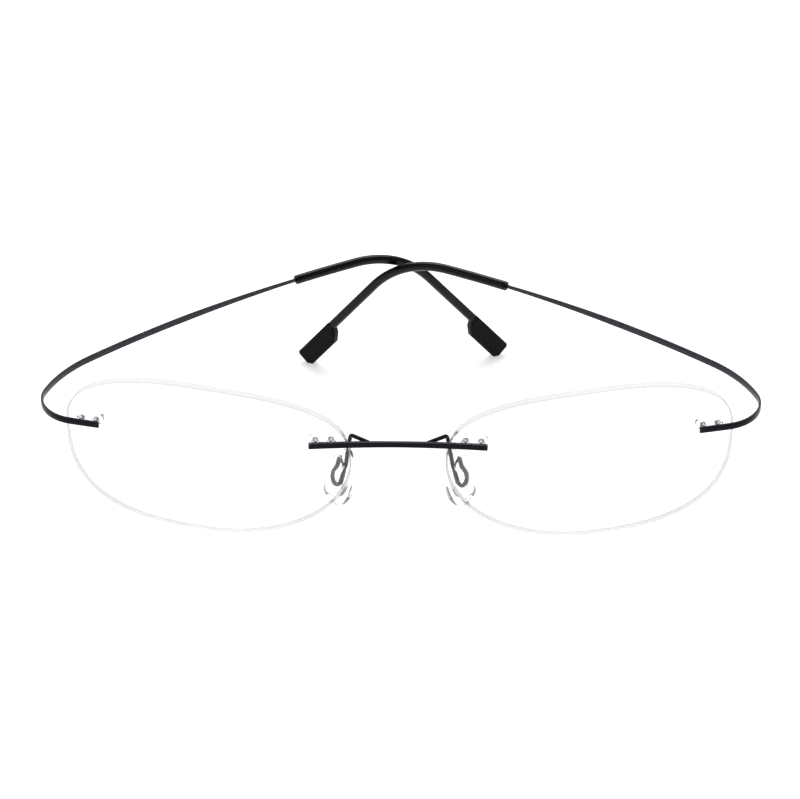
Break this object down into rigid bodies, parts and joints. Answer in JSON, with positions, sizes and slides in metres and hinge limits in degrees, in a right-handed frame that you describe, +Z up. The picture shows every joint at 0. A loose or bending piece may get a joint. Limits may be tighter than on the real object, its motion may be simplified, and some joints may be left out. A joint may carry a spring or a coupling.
{
  "type": "rimless spectacles",
  "caption": "Rimless spectacles: clear drilled lenses on a thin bridge bar, with springy flat ribbon temples that wrap the corners, cross when folded and flex open without hinges.",
  "frame": {"origin": "centre of the bounding box in plan, on the table that the lens bottoms and temple ends rest on", "axes": "+X across the face towards the right-hand lens as seen from the front, +Y from the lens fronts back towards the ears, +Z up"},
  "size_m": [0.1376, 0.0862, 0.0341],
  "materials": {
    "lens": "clear cast lens resin, polished faces and a satin ground edge",
    "titanium": "black vapour-coated spring titanium, satin",
    "plug": "clear moulded polyamide",
    "silicone": "clear moulded silicone",
    "tip": "glossy black moulded sleeve"
  },
  "bodies": {
    "front": {"lens_left": "lens", "lens_right": "lens", "bridge_bar": "titanium", "bridge_pins_left": "titanium", "bridge_pins_right": "titanium", "bridge_plug_left": "plug", "bridge_plug_right": "plug", "temple_pins_left": "titanium", "temple_pins_right": "titanium", "temple_plug_left": "plug", "temple_plug_right": "plug", "pad_arm_left": "titanium", "pad_arm_right": "titanium", "temple_mount_left": "titanium", "temple_mount_right": "titanium", "temple_flexure_left": "titanium", "temple_flexure_right": "titanium"},
    "left_temple": {"temple_arm_left": "titanium", "temple_tip_left": "tip"},
    "right_temple": {"temple_arm_right": "titanium", "temple_tip_right": "tip"},
    "left_pad": {"nose_pad_left": "silicone"},
    "right_pad": {"nose_pad_right": "silicone"}
  },
  "joints": [
    {"name": "left_temple_flex", "type": "hinge", "parent": "front", "child": "left_temple", "pos_m": [-0.06745, -0.03393, 0.02423], "axis": [0, -0.0873, 0.9962], "range_deg": [0, 48], "stiffness_Nm_per_rad": 0.03, "deforming": ["temple_flexure_left"]},
    {"name": "right_temple_flex", "type": "hinge", "parent": "front", "child": "right_temple", "pos_m": [0.06755, -0.03374, 0.02425], "axis": [0, 0.0873, -0.9962], "range_deg": [0, 40], "stiffness_Nm_per_rad": 0.03, "deforming": ["temple_flexure_right"]},
    {"name": "left_pad_rock", "type": "hinge", "parent": "front", "child": "left_pad", "pos_m": [-0.01217, -0.03407, 0.01029], "axis": [0.2588, 0, 0.9659], "range_deg": [-6, 6], "stiffness_Nm_per_rad": 0.002},
    {"name": "right_pad_rock", "type": "hinge", "parent": "front", "child": "right_pad", "pos_m": [0.01217, -0.03407, 0.01029], "axis": [-0.2588, 0, 0.9659], "range_deg": [-6, 6], "stiffness_Nm_per_rad": 0.002}
  ],
  "couplings": [
    {"joint": "right_temple_flex", "follows": "left_temple_flex", "ratio": 0.83333}
  ]
}
